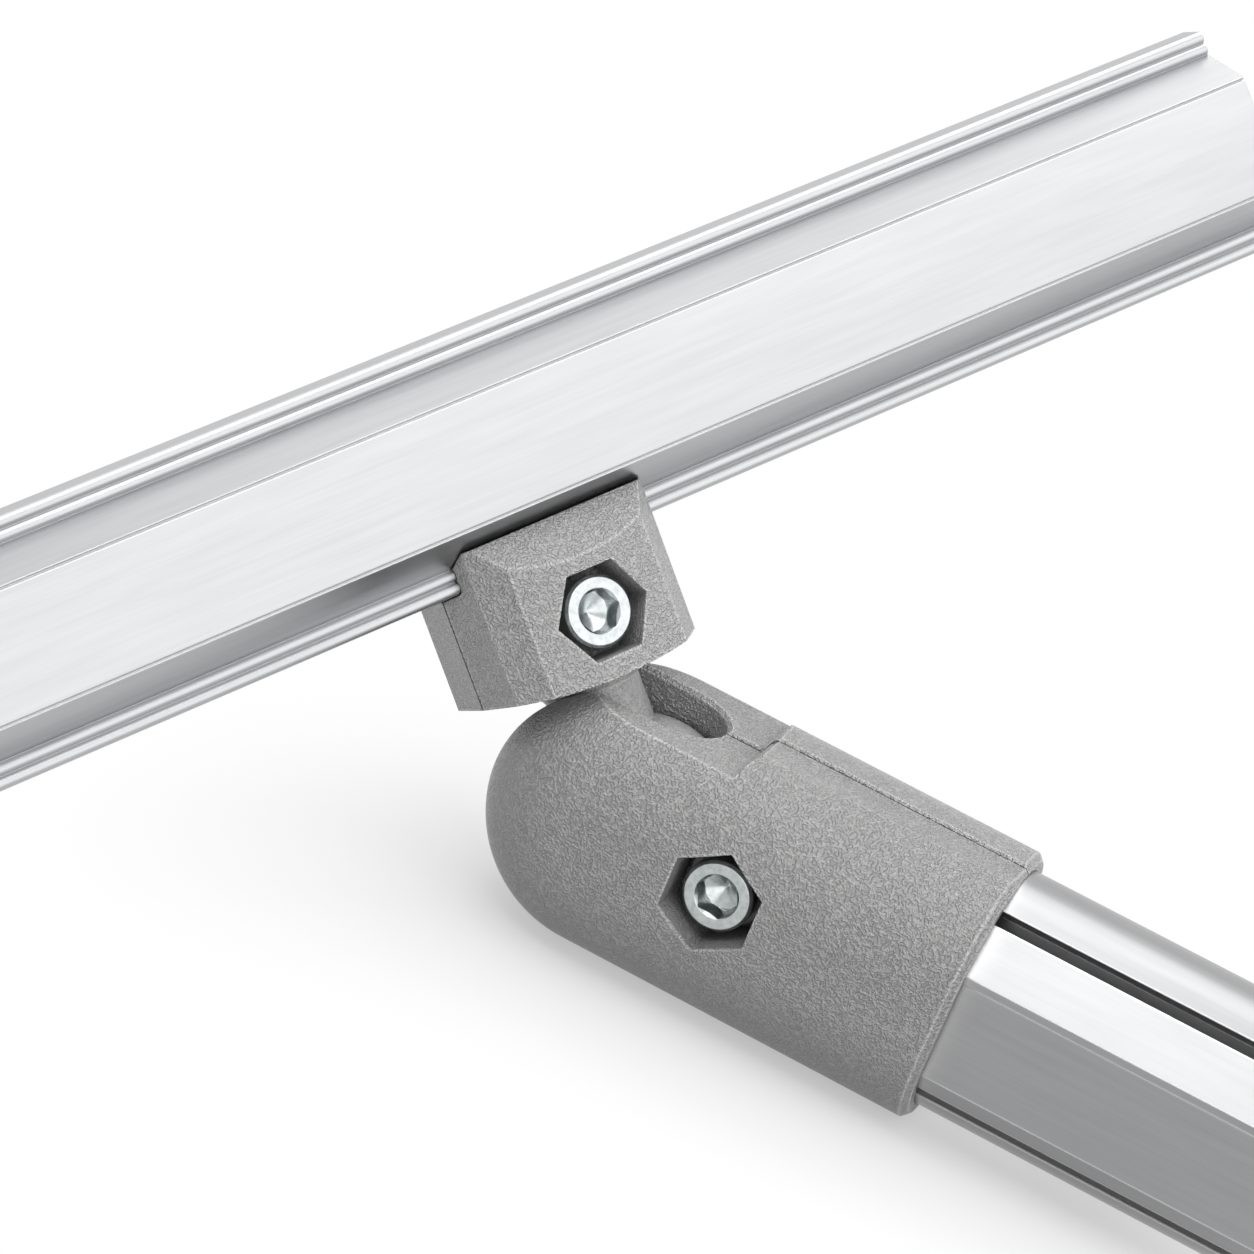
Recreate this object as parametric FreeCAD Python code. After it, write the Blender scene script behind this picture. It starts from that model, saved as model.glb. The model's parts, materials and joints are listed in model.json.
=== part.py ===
import FreeCAD, Part
import math
import os

from FreeCAD import Placement, Rotation, Vector

# Ball-jointed clamp that joins the end of a slotted profile tube to the bead of a clamp rail.
# Millimetres. The tube lies along X, the clamp screw of the housing along Y with its head towards -Y,
# and the stem leaves the housing towards +Z. The origin is the centre of the tube's free end.

# Profile tube
TUBE_RADIUS = 15.0
TUBE_REACH = 92.0
TUBE_GRIP = 22.7
TUBE_GAP = 0.06
TUBE_FACE_CUT = 1.5
TUBE_RIDGE = 0.2
TUBE_RIDGE_WIDTH = 0.9
TUBE_SHOULDER_ANGLE = 52.0
TUBE_SLOT_ANGLE = 56.4
TUBE_SLOT_MOUTH = 2.2
TUBE_SLOT_LIP = 1.3
TUBE_SLOT_ROOM = 5.2
TUBE_SLOT_DEPTH = 3.2
TUBE_GROOVE_ANGLE = -41.0
TUBE_GROOVE_WIDTH = 1.9
TUBE_GROOVE_DEPTH = 1.2
TUBE_WALL = 1.7
TUBE_WEB = 1.5
TUBE_FACE_DEPTH = TUBE_RADIUS - TUBE_FACE_CUT

# Clamp rail, section centred on the rail's own axis
RAIL_HALF_HEIGHT = 14.45
RAIL_BAND_HALF = 7.0
RAIL_BAND_DEPTH = 9.25
RAIL_CROWN = 0.3
RAIL_LINE = 0.22
BEAD_HALF = 3.8
BEAD_CROWN = 0.45
BEAD_VALLEY = 0.45
BEAD_HEIGHT = 3.4
RAIL_WALL = 1.6
RAIL_WEB = 1.6
RAIL_REACH_RIGHT = 106.5
RAIL_REACH_LEFT = 80.0

# Core bores of both profiles
CORE_BORE_RADIUS = 2.75
CORE_WALL = 1.7

# Socket cap screws, washer and hex nuts, size M5
SCREW_RADIUS = 2.5
SCREW_HEAD_RADIUS = 4.25
SCREW_HEAD_HEIGHT = 5.0
SCREW_HEAD_EDGE = 0.35
SOCKET_FLATS = 4.7
SOCKET_DEPTH = 3.0
SOCKET_LEAD = 0.35
SOCKET_CONE = 1.2
SCREW_HOLE_GAP = 0.25
HEAD_POCKET_GAP = 1.0
WASHER_RADIUS = 5.0
WASHER_THICKNESS = 1.0
WASHER_BORE_GAP = 0.15
WASHER_POCKET_GAP = 0.45
NUT_FLATS = 8.0
NUT_HEIGHT = 4.7
NUT_EDGE = 0.4
NUT_EDGE_DROP = 0.25
NUT_POCKET_GAP = 0.15

# Ball stud
BALL_RADIUS = 11.5
BALL_GAP = 0.06
STEM_RADIUS = 5.75
FLARE_HEIGHT = 1.6
COLLAR_OVERHANG = 0.85
COLLAR_INLET = 0.4
COLLAR_EDGE = 0.2
COLLAR_GAP = 0.12
NECK_RADIUS = 2.9
NECK_LENGTH = 1.4
STUD_HEAD_RADIUS = 4.1
STUD_HEAD_LENGTH = 1.4
TURNING_GAP = 0.06
COLLAR_RADIUS = STEM_RADIUS + COLLAR_OVERHANG

# Housing: two half shells, parted in the plane of the stem
HOUSING_WALL = 1.2
HOUSING_FLAT_HALF = 3.0
NOSE_SHIFT = 0.7
END_BEVEL = 0.8
PARTING_GAP = 0.3
PARTING_BEVEL = 0.3
PARTING_STEP = 0.3
PEG_RADIUS = 1.5
PEG_LENGTH = 2.2
PEG_GAP = 0.1
PEG_EDGE = 4.6
HOUSING_HALF = TUBE_RADIUS + HOUSING_WALL
HOUSING_ROUND = HOUSING_HALF - HOUSING_FLAT_HALF

# Slot of the stem and the recess round it
SLOT_SIDE_GAP = 0.65
SLOT_END_GAP = 0.3
SLOT_RIM_BEVEL = 0.5
RECESS_DEPTH = 2.2
RECESS_LEDGE = 4.85
RECESS_LEAN = 0.6
RECESS_BEVEL = 0.7
SLOT_HALF_WIDTH = STEM_RADIUS + SLOT_SIDE_GAP
SLOT_SHIFT = SLOT_SIDE_GAP - SLOT_END_GAP
RECESS_HEIGHT = HOUSING_HALF - RECESS_DEPTH
RECESS_REACH = SLOT_HALF_WIDTH - SLOT_SHIFT + RECESS_LEDGE

# Housing clamp screw, between the ball and the tube's end
SCREW_BALL_WALL = 1.1
SCREW_TUBE_ROOM = 1.9
HOUSING_SCREW_RISE = 1.0
HOUSING_SCREW_LENGTH = 20.0
HOUSING_HEAD_SINK = 2.6
HOUSING_SOCKET_TURN = 34.4
HOUSING_SCREW_REACH = BALL_RADIUS + SCREW_BALL_WALL + SCREW_RADIUS
HOUSING_POCKET_FLATS = 2 * (WASHER_RADIUS + WASHER_POCKET_GAP)
TUBE_STOP = HOUSING_SCREW_REACH + WASHER_RADIUS + SCREW_TUBE_ROOM
HOUSING_REACH = TUBE_STOP + TUBE_GRIP

# Jaw block, measured in its own frame: x along the rail, z along the stem from the ball's centre
JAW_HALF_PARTING = 13.9
JAW_HALF_CORNER = 12.2
JAW_CORNER_DEPTH = 6.1
JAW_HALF_FACE = 9.0
JAW_FACE_DEPTH = 9.6
JAW_CROWN_DEPTH = 10.9
JAW_REAR_HALF = 13.0
JAW_REAR_DEPTH = 9.9
JAW_REAR_ROUND = 1.6
JAW_FLOOR_GAP = 0.6
JAW_FLOOR_ARCH = 1.2
JAW_CHAMFER_DROP = 4.9
JAW_LIP = 0.7
JAW_GRIP = 4.95
JAW_PARTING_GAP = 0.3
JAW_SCREW_RISE = 4.5
JAW_SCREW_LENGTH = 12.0
JAW_HEAD_SINK = 1.4
JAW_RAIL_GAP = 0.15
BEAD_RISE = 6.95
JAW_FLOOR = HOUSING_HALF + JAW_FLOOR_GAP
COLLAR_TOP = JAW_FLOOR + COLLAR_INLET
NECK_TOP = COLLAR_TOP + NECK_LENGTH
STUD_TOP = NECK_TOP + STUD_HEAD_LENGTH
JAW_SCREW_HEIGHT = STUD_TOP + JAW_SCREW_RISE
JAW_TOP = JAW_SCREW_HEIGHT + BEAD_RISE + JAW_GRIP
RAIL_AXIS_HEIGHT = JAW_SCREW_HEIGHT + BEAD_RISE + RAIL_HALF_HEIGHT
JAW_POCKET_FLATS = 2 * (SCREW_HEAD_RADIUS + HEAD_POCKET_GAP)

# Rest pose
SWING_REST = 46.2
TWIST_REST = 48.4

# How far cutters run past a face, how close two edges count as one, and a length beyond every piece
OVERCUT = 2.0
TOUCH = 0.01
FAR = 200.0


def export(shape, name):
    """Writes one sub-part, moved from the ball's centre to the frame of the tube's end."""
    moved = shape.copy()
    moved.translate(Vector(-TUBE_REACH, 0, 0))
    moved.exportStep("parts/" + name + ".step")


def clean(shape):
    """Merges split faces and gives back the plain solid."""
    refined = shape.removeSplitter()
    return refined.Solids[0] if len(refined.Solids) == 1 else refined


def face_of(edges):
    return Part.Face(Part.Wire(Part.__sortEdges__(edges)))


def polygon_face(points):
    return Part.Face(Part.makePolygon(points + [points[0]]))


def box(low, high):
    """Box between two corners."""
    size = [high[i] - low[i] for i in range(3)]
    return Part.makeBox(size[0], size[1], size[2], Vector(*low))


def hexagon_prism(flats, depth, base, direction, vertex):
    """Hexagon of a width across flats, extruded from base along direction, with a corner along vertex."""
    corner_radius = flats / math.sqrt(3.0)
    points = []
    for k in range(6):
        turn = Rotation(direction, 60.0 * k)
        points.append(base + turn.multVec(vertex) * corner_radius)
    return polygon_face(points).extrude(direction * depth)


def revolve_profile(points, base, direction, radial):
    """Turns a closed outline of (radius, height) points about an axis."""
    outline = [base + radial * r + direction * h for r, h in points]
    return polygon_face(outline).revolve(base, direction, 360)


# Fasteners

def cap_screw(seat, direction, length, vertex):
    """Socket cap screw: direction points from the seat to the open end of the head."""
    rim = SCREW_HEAD_HEIGHT - SCREW_HEAD_EDGE
    head = revolve_profile(
        [(0, 0), (SCREW_HEAD_RADIUS, 0), (SCREW_HEAD_RADIUS, rim),
         (SCREW_HEAD_RADIUS - SCREW_HEAD_EDGE, SCREW_HEAD_HEIGHT), (0, SCREW_HEAD_HEIGHT)],
        seat, direction, vertex)
    shank = Part.makeCylinder(SCREW_RADIUS, length, seat - direction * length, direction)
    floor = seat + direction * (SCREW_HEAD_HEIGHT - SOCKET_DEPTH)
    socket = hexagon_prism(SOCKET_FLATS, SOCKET_DEPTH + OVERCUT, floor, direction, vertex)
    corner = SOCKET_FLATS / math.sqrt(3.0)
    lead = revolve_profile(
        [(0, SCREW_HEAD_HEIGHT - SOCKET_LEAD), (corner - SOCKET_LEAD, SCREW_HEAD_HEIGHT - SOCKET_LEAD),
         (corner + SOCKET_LEAD, SCREW_HEAD_HEIGHT + SOCKET_LEAD), (0, SCREW_HEAD_HEIGHT + SOCKET_LEAD)],
        seat, direction, vertex)
    drill = revolve_profile([(0, -SOCKET_CONE), (SOCKET_FLATS / 2, 0), (0, 0)], floor, direction, vertex)
    return clean(head.fuse(shank).cut(socket).cut(lead).cut(drill))


def washer(seat, direction):
    """Flat washer: direction points from the seat to the screw's head."""
    blank = Part.makeCylinder(WASHER_RADIUS, WASHER_THICKNESS, seat, direction)
    return blank.cut(Part.makeCylinder(SCREW_RADIUS + WASHER_BORE_GAP, WASHER_THICKNESS, seat, direction))


def hex_nut(seat, direction, vertex):
    """Hex nut, turned off at its open face, to which direction points from the seat."""
    blank = hexagon_prism(NUT_FLATS, NUT_HEIGHT, seat, direction, vertex)
    corner = NUT_FLATS / math.sqrt(3.0)
    turned = revolve_profile(
        [(0, 0), (corner, 0), (corner, NUT_HEIGHT - NUT_EDGE_DROP), (corner - NUT_EDGE, NUT_HEIGHT),
         (0, NUT_HEIGHT)],
        seat, direction, vertex)
    hole = Part.makeCylinder(SCREW_RADIUS, NUT_HEIGHT, seat, direction)
    return clean(blank.common(turned).cut(hole))


# Profile tube

def on_circle(radius, angle, side):
    """Point of the tube's section: side -1 is the front, angle is measured up from the screw's direction."""
    a = math.radians(angle)
    return Vector(0, side * radius * math.cos(a), radius * math.sin(a))


def tube_outline(grow):
    """Section of the tube without its slots, all round larger by grow."""
    radius = TUBE_RADIUS + grow
    depth = TUBE_FACE_DEPTH + grow
    half = math.sqrt(radius ** 2 - depth ** 2)
    edges = []
    for side in (-1, 1):
        low = Vector(0, side * depth, -half)
        high = Vector(0, side * depth, half)
        shoulder = on_circle(radius, TUBE_SHOULDER_ANGLE, side)
        edges.append(Part.makeLine(low, high))
        edges.append(Part.makeLine(high, shoulder))
    bottom_ends = [Vector(0, side * depth, -half) for side in (-1, 1)]
    top_ends = [on_circle(radius, TUBE_SHOULDER_ANGLE, side) for side in (-1, 1)]
    edges.append(Part.Arc(bottom_ends[0], Vector(0, 0, -radius), bottom_ends[1]).toShape())
    edges.append(Part.Arc(top_ends[0], Vector(0, 0, radius), top_ends[1]).toShape())
    return face_of(edges)


def tube_slot(side):
    """Undercut slot in the shoulder of the tube, open outwards."""
    middle = on_circle(TUBE_RADIUS, TUBE_SLOT_ANGLE, side)
    out = middle.normalize()
    middle = out * TUBE_RADIUS
    across = Vector(0, -out.z, out.y)
    mouth, room = TUBE_SLOT_MOUTH / 2, TUBE_SLOT_ROOM / 2
    lip, floor = -TUBE_SLOT_LIP, -TUBE_SLOT_LIP - TUBE_SLOT_DEPTH
    outline = [(-mouth, OVERCUT), (-mouth, lip), (-room, lip), (-mouth, floor),
               (mouth, floor), (room, lip), (mouth, lip), (mouth, OVERCUT)]
    return polygon_face([middle + across * a + out * o for a, o in outline])


def tube_groove(side):
    """Plain groove under the flat face."""
    out = on_circle(1.0, TUBE_GROOVE_ANGLE, side)
    across = Vector(0, -out.z, out.y)
    half = TUBE_GROOVE_WIDTH / 2
    top, floor = TUBE_RADIUS + OVERCUT, TUBE_RADIUS - TUBE_GROOVE_DEPTH
    return polygon_face([across * -half + out * top, across * -half + out * floor,
                         across * half + out * floor, across * half + out * top])


def tube_step(side):
    """The flat face lies a step lower than the ridge along its upper edge."""
    half = math.sqrt(TUBE_RADIUS ** 2 - TUBE_FACE_DEPTH ** 2)
    low, high = -half - OVERCUT, half - TUBE_RIDGE_WIDTH
    outer = side * (TUBE_FACE_DEPTH + OVERCUT)
    inner = side * (TUBE_FACE_DEPTH - TUBE_RIDGE)
    return polygon_face([Vector(0, outer, low), Vector(0, outer, high),
                         Vector(0, inner, high - TUBE_RIDGE), Vector(0, inner, low)])


def disc(radius):
    """Round face about the X axis."""
    return Part.Face(Part.Wire(Part.makeCircle(radius, Vector(0, 0, 0), Vector(1, 0, 0))))


def tube_chamber(side, up):
    """One of the four hollow chambers between the wall, the webs and the core."""
    web = TUBE_WEB / 2
    wall = TUBE_FACE_DEPTH - TUBE_RIDGE - TUBE_WALL
    corners = [(web, web), (wall, web), (wall, TUBE_RADIUS), (web, TUBE_RADIUS)]
    quarter = polygon_face([Vector(0, side * y, up * z) for y, z in corners])
    if up > 0:
        out = on_circle(1.0, TUBE_SLOT_ANGLE, side)
        limit = TUBE_RADIUS - TUBE_SLOT_LIP - TUBE_SLOT_DEPTH - TUBE_WALL
    else:
        out = on_circle(1.0, TUBE_GROOVE_ANGLE, side)
        limit = TUBE_RADIUS - TUBE_GROOVE_DEPTH - TUBE_WALL
    across = Vector(0, -out.z, out.y)
    beyond = polygon_face([across * -FAR + out * limit, across * FAR + out * limit,
                           across * FAR + out * FAR, across * -FAR + out * FAR])
    return disc(TUBE_RADIUS - TUBE_WALL).common(quarter).cut(beyond).cut(disc(CORE_BORE_RADIUS + CORE_WALL))


def profile_tube():
    """Slotted profile tube, cut square at both ends."""
    section = tube_outline(0)
    for side in (-1, 1):
        section = section.cut(tube_slot(side)).cut(tube_groove(side)).cut(tube_step(side))
        section = section.cut(tube_chamber(side, 1)).cut(tube_chamber(side, -1))
    section = section.cut(disc(CORE_BORE_RADIUS))
    tube = section.extrude(Vector(TUBE_REACH - TUBE_STOP, 0, 0))
    tube.translate(Vector(TUBE_STOP, 0, 0))
    return clean(tube)


# Housing

def housing_section():
    """Section of the housing's bar: a square with large rounds."""
    half, flat = HOUSING_HALF, HOUSING_FLAT_HALF
    diagonal = flat + HOUSING_ROUND * math.sqrt(0.5)
    edges = []
    for side, up in ((1, 1), (-1, 1), (-1, -1), (1, -1)):
        beside = Vector(0, side * half, up * flat)
        above = Vector(0, side * flat, up * half)
        edges.append(Part.Arc(beside, Vector(0, side * diagonal, up * diagonal), above).toShape())
    for end in (-1, 1):
        edges.append(Part.makeLine(Vector(0, end * half, -flat), Vector(0, end * half, flat)))
        edges.append(Part.makeLine(Vector(0, -flat, end * half), Vector(0, flat, end * half)))
    return face_of(edges)


def housing_blank():
    """Outer form of both shells: a bar whose nose is its own section turned half round."""
    section = housing_section()
    bar = section.extrude(Vector(HOUSING_REACH + NOSE_SHIFT, 0, 0))
    upper_half = section.common(box((-FAR, -FAR, 0), (FAR, FAR, FAR))).Faces[0]
    nose = upper_half.revolve(Vector(0, 0, 0), Vector(0, 1, 0), -180)
    blank = bar.fuse(nose).removeSplitter()
    blank.translate(Vector(-NOSE_SHIFT, 0, 0))
    return blank


def end_edges(shape, reach):
    """Edges that lie in the end plane of the housing."""
    return [e for e in shape.Edges
            if abs(e.BoundBox.XMin - reach) < TOUCH and abs(e.BoundBox.XMax - reach) < TOUCH]


def recess_cutter():
    """Takes the top of the nose down to the flat round the slot, up to a leaning step."""
    foot = RECESS_REACH
    head = RECESS_REACH + RECESS_LEAN
    top = HOUSING_HALF
    outline = [Vector(-FAR, -FAR, RECESS_HEIGHT), Vector(foot, -FAR, RECESS_HEIGHT),
               Vector(head, -FAR, top - RECESS_BEVEL), Vector(head + RECESS_BEVEL, -FAR, top),
               Vector(head + RECESS_BEVEL, -FAR, FAR), Vector(-FAR, -FAR, FAR)]
    return polygon_face(outline).extrude(Vector(0, 2 * FAR, 0))


def slot_cutter():
    """Way of the stem from upright to straight out of the nose."""
    corner = Vector(-SLOT_SHIFT, 0, SLOT_SHIFT)
    upright = Part.makeCylinder(SLOT_HALF_WIDTH, FAR, corner, Vector(0, 0, 1))
    level = Part.makeCylinder(SLOT_HALF_WIDTH, FAR, corner, Vector(-1, 0, 0))
    quadrant = box((-FAR, -SLOT_HALF_WIDTH, SLOT_SHIFT), (-SLOT_SHIFT, SLOT_HALF_WIDTH, FAR))
    return upright.fuse(level).fuse(quadrant)


def housing_screw_place():
    """Point of the clamp screw's axis in the parting plane."""
    return Vector(HOUSING_SCREW_REACH, 0, HOUSING_SCREW_RISE)


def housing_head_seat():
    return HOUSING_HALF - HOUSING_HEAD_SINK - SCREW_HEAD_HEIGHT


def housing_nut_seat():
    return HOUSING_SCREW_LENGTH - housing_head_seat() - NUT_HEIGHT


def pegs(radius, length):
    """Locating pegs of the rear shell, above and below the screw."""
    reach = (HOUSING_SCREW_REACH + TUBE_STOP) / 2
    pair = []
    for z in (PEG_EDGE - HOUSING_HALF, RECESS_HEIGHT - PEG_EDGE):
        pair.append(Part.makeCylinder(radius, length, Vector(reach, PARTING_GAP / 2, z), Vector(0, -1, 0)))
    return pair


def housing_inside():
    """Everything that is cut from both shells."""
    socket = Part.makeSphere(BALL_RADIUS + BALL_GAP, Vector(0, 0, 0), Vector(0, 1, 0))
    bore = tube_outline(TUBE_GAP).extrude(Vector(HOUSING_REACH, 0, 0))
    bore.translate(Vector(TUBE_STOP - TUBE_GAP, 0, 0))
    place = housing_screw_place()
    along, corner = Vector(0, 1, 0), Vector(0, 0, 1)
    hole = Part.makeCylinder(SCREW_RADIUS + SCREW_HOLE_GAP, 2 * FAR, place - along * FAR, along)
    pocket_floor = place + along * (WASHER_THICKNESS - housing_head_seat())
    pocket = hexagon_prism(HOUSING_POCKET_FLATS, HOUSING_HALF, pocket_floor, along * -1, corner)
    nut_floor = place + along * housing_nut_seat()
    nut_room = hexagon_prism(NUT_FLATS + 2 * NUT_POCKET_GAP, HOUSING_HALF, nut_floor, along, corner)
    return [socket, bore, hole, pocket, nut_room]


def rim_edges(shape):
    """Outer edges of the stem's slot, which get a bevel."""
    found = []
    for edge in shape.Edges:
        bounds = edge.BoundBox
        across = max(abs(bounds.YMin), abs(bounds.YMax))
        in_slot = PARTING_GAP < across < SLOT_HALF_WIDTH + TOUCH and bounds.XMax < RECESS_REACH - TOUCH
        along_wall = bounds.YLength < TOUCH and across > SLOT_HALF_WIDTH - TOUCH
        round_end = edge.Curve.TypeId != "Part::GeomLine"
        outside = all(v.Point.Length > BALL_RADIUS + OVERCUT for v in edge.Vertexes)
        if in_slot and outside and bounds.DiagonalLength > OVERCUT and (along_wall or round_end):
            found.append(edge)
    return found


def half_space(side, gap):
    """Room of one shell or jaw: side -1 is the front."""
    if side < 0:
        return box((-FAR, -FAR, -FAR), (FAR, -gap / 2, FAR))
    return box((-FAR, gap / 2, -FAR), (FAR, FAR, FAR))


def parting_bevel():
    """Bevel along the outer parting edge of the rear shell."""
    half, bevel = HOUSING_HALF, PARTING_BEVEL
    gap = PARTING_GAP / 2
    length = HOUSING_REACH + NOSE_SHIFT
    nose = Vector(-NOSE_SHIFT, 0, 0)

    def wedge(height):
        inner, outer = gap - bevel, gap + 2 * bevel
        return polygon_face([Vector(0, inner, height + 2 * bevel), Vector(0, inner, height - 2 * bevel),
                             Vector(0, outer, height + bevel)])
    top = wedge(half).extrude(Vector(length, 0, 0))
    bottom = top.mirror(Vector(0, 0, 0), Vector(0, 0, 1))
    around = wedge(half).revolve(Vector(0, 0, 0), Vector(0, 1, 0), -180)
    ring = top.fuse(bottom).fuse(around)
    ring.translate(nose)
    flat = wedge(RECESS_HEIGHT).extrude(Vector(RECESS_REACH, 0, 0))
    return ring, flat


def parting_step():
    """What makes the front shell's top and recess lie a step lower than the rear's."""
    top = box((-FAR, -FAR, HOUSING_HALF - PARTING_STEP), (FAR, FAR, FAR))
    recess = recess_cutter()
    recess.translate(Vector(0, 0, -PARTING_STEP))
    return top, recess


def housing_shells():
    """Front and rear shell."""
    blank = housing_blank()
    blank = blank.makeChamfer(END_BEVEL, end_edges(blank, HOUSING_REACH))
    blank = blank.cut(recess_cutter())
    blank = blank.cut(slot_cutter())
    blank = blank.makeChamfer(SLOT_RIM_BEVEL, rim_edges(blank))
    for cutter in housing_inside():
        blank = blank.cut(cutter)
    front = blank.common(half_space(-1, PARTING_GAP))
    rear = blank.common(half_space(1, PARTING_GAP))
    for cutter in parting_step():
        front = front.cut(cutter)
    for cutter in parting_bevel():
        rear = rear.cut(cutter)
    for peg in pegs(PEG_RADIUS + PEG_GAP, PEG_LENGTH + PARTING_GAP + PEG_GAP):
        front = front.cut(peg)
    for peg in pegs(PEG_RADIUS, PEG_LENGTH + PARTING_GAP):
        rear = rear.fuse(peg)
    return clean(front), clean(rear)


def housing_screw():
    """Clamp screw of the housing."""
    seat = housing_screw_place() + Vector(0, -housing_head_seat(), 0)
    corner = Rotation(Vector(0, 1, 0), HOUSING_SOCKET_TURN).multVec(Vector(0, 0, 1))
    return cap_screw(seat, Vector(0, -1, 0), HOUSING_SCREW_LENGTH, corner)


def housing_washer():
    """Washer under the head of the housing's screw."""
    seat = housing_screw_place() + Vector(0, WASHER_THICKNESS - housing_head_seat(), 0)
    return washer(seat, Vector(0, -1, 0))


def housing_nut():
    """Nut on the tip of the housing's screw."""
    seat = housing_screw_place() + Vector(0, housing_nut_seat(), 0)
    return hex_nut(seat, Vector(0, 1, 0), Vector(0, 0, 1))


# Ball stud, in the block's frame

def ball_stud():
    """Ball, stem with a flared collar, and the headed neck that the jaws hold."""
    stem_foot = Vector(STEM_RADIUS, 0, math.sqrt(BALL_RADIUS ** 2 - STEM_RADIUS ** 2))
    flare_top = COLLAR_TOP - COLLAR_EDGE
    outline = [(STEM_RADIUS, stem_foot.z), (STEM_RADIUS, flare_top - FLARE_HEIGHT),
               (COLLAR_RADIUS, flare_top), (COLLAR_RADIUS, COLLAR_TOP),
               (NECK_RADIUS, COLLAR_TOP), (NECK_RADIUS, NECK_TOP),
               (STUD_HEAD_RADIUS, NECK_TOP), (STUD_HEAD_RADIUS, STUD_TOP), (0, STUD_TOP), (0, -BALL_RADIUS)]
    corners = [Vector(radius, 0, height) for radius, height in outline]
    edges = [Part.makeLine(corners[i], corners[i + 1]) for i in range(len(corners) - 1)]
    edges.append(Part.Arc(corners[-1], Vector(BALL_RADIUS, 0, 0), stem_foot).toShape())
    return clean(face_of(edges).revolve(Vector(0, 0, 0), Vector(0, 0, 1), 360))


# Jaw block, in its own frame

def jaw_plan():
    """Outline of both jaws seen along the stem."""
    front = [Vector(-JAW_HALF_PARTING, 0, 0), Vector(-JAW_HALF_CORNER, -JAW_CORNER_DEPTH, 0),
             Vector(-JAW_HALF_FACE, -JAW_FACE_DEPTH, 0)]
    crown = Vector(0, -JAW_CROWN_DEPTH, 0)
    mirrored = [Vector(-p.x, p.y, 0) for p in front]
    rear = [Vector(JAW_REAR_HALF, JAW_REAR_DEPTH, 0), Vector(-JAW_REAR_HALF, JAW_REAR_DEPTH, 0)]
    edges = [Part.makeLine(front[0], front[1]), Part.makeLine(front[1], front[2]),
             Part.Arc(front[2], crown, mirrored[2]).toShape(),
             Part.makeLine(mirrored[2], mirrored[1]), Part.makeLine(mirrored[1], mirrored[0]),
             Part.makeLine(mirrored[0], rear[0]), Part.makeLine(rear[0], rear[1]),
             Part.makeLine(rear[1], front[0])]
    return face_of(edges)


def jaw_blank():
    """Outer form of both jaws, with the arched floor and the slanted top of the front."""
    body = jaw_plan().extrude(Vector(0, 0, JAW_TOP - JAW_FLOOR))
    body.translate(Vector(0, 0, JAW_FLOOR))
    rear_edges = [e for e in body.Edges if abs(e.BoundBox.YMin - JAW_REAR_DEPTH) < TOUCH
                  and e.BoundBox.ZLength > OVERCUT]
    body = body.makeFillet(JAW_REAR_ROUND, rear_edges)
    half, foot = JAW_HALF_PARTING, JAW_FLOOR + JAW_FLOOR_ARCH
    low = JAW_FLOOR - JAW_FLOOR_ARCH
    arch = Part.Arc(Vector(-half, 0, foot), Vector(0, 0, JAW_FLOOR), Vector(half, 0, foot))
    edges = [arch.toShape(), Part.makeLine(Vector(half, 0, foot), Vector(half, 0, low)),
             Part.makeLine(Vector(half, 0, low), Vector(-half, 0, low)),
             Part.makeLine(Vector(-half, 0, low), Vector(-half, 0, foot))]
    under = face_of(edges).extrude(Vector(0, 2 * FAR, 0))
    under.translate(Vector(0, -FAR, 0))
    body = body.cut(under)
    low_front = JAW_TOP - JAW_CHAMFER_DROP
    top_front = jaw_lip_depth()
    slant = polygon_face([Vector(-FAR, -JAW_CROWN_DEPTH, low_front), Vector(-FAR, -top_front, JAW_TOP),
                          Vector(-FAR, -top_front, FAR), Vector(-FAR, -FAR, FAR),
                          Vector(-FAR, -FAR, low_front - (FAR - JAW_CROWN_DEPTH))])
    return body.cut(slant.extrude(Vector(2 * FAR, 0, 0)))


def jaw_lip_depth():
    """Depth of the front jaw's upper edge, a lip's thickness outside the rail's flank."""
    drop = RAIL_AXIS_HEIGHT - JAW_TOP
    return rail_flank_depth(drop) + JAW_RAIL_GAP + JAW_LIP


def jaw_head_seat():
    return JAW_CROWN_DEPTH - JAW_HEAD_SINK - SCREW_HEAD_HEIGHT


def jaw_nut_seat():
    return JAW_SCREW_LENGTH - jaw_head_seat() - NUT_HEIGHT


def jaw_inside():
    """Everything that is cut from both jaws."""
    place = Vector(0, 0, JAW_SCREW_HEIGHT)
    along, corner = Vector(0, 1, 0), Vector(1, 0, 0)
    hole = Part.makeCylinder(SCREW_RADIUS + SCREW_HOLE_GAP, 2 * FAR, place - along * FAR, along)
    head_floor = place - along * jaw_head_seat()
    pocket = hexagon_prism(JAW_POCKET_FLATS, JAW_CROWN_DEPTH, head_floor, along * -1, corner)
    nut_floor = place + along * jaw_nut_seat()
    nut_room = hexagon_prism(NUT_FLATS + 2 * NUT_POCKET_GAP, JAW_REAR_DEPTH, nut_floor, along, corner)
    inlet = Part.makeCylinder(COLLAR_RADIUS + COLLAR_GAP, COLLAR_TOP + COLLAR_GAP)
    neck = Part.makeCylinder(NECK_RADIUS + TURNING_GAP, NECK_TOP)
    head = Part.makeCylinder(STUD_HEAD_RADIUS + TURNING_GAP, STUD_HEAD_LENGTH + 2 * TURNING_GAP,
                             Vector(0, 0, NECK_TOP - TURNING_GAP))
    rail_room = rail_outline().makeOffset2D(JAW_RAIL_GAP).extrude(Vector(2 * FAR, 0, 0))
    rail_room.translate(Vector(-FAR, 0, RAIL_AXIS_HEIGHT))
    return [hole, pocket, nut_room, inlet, neck, head, rail_room]


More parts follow.
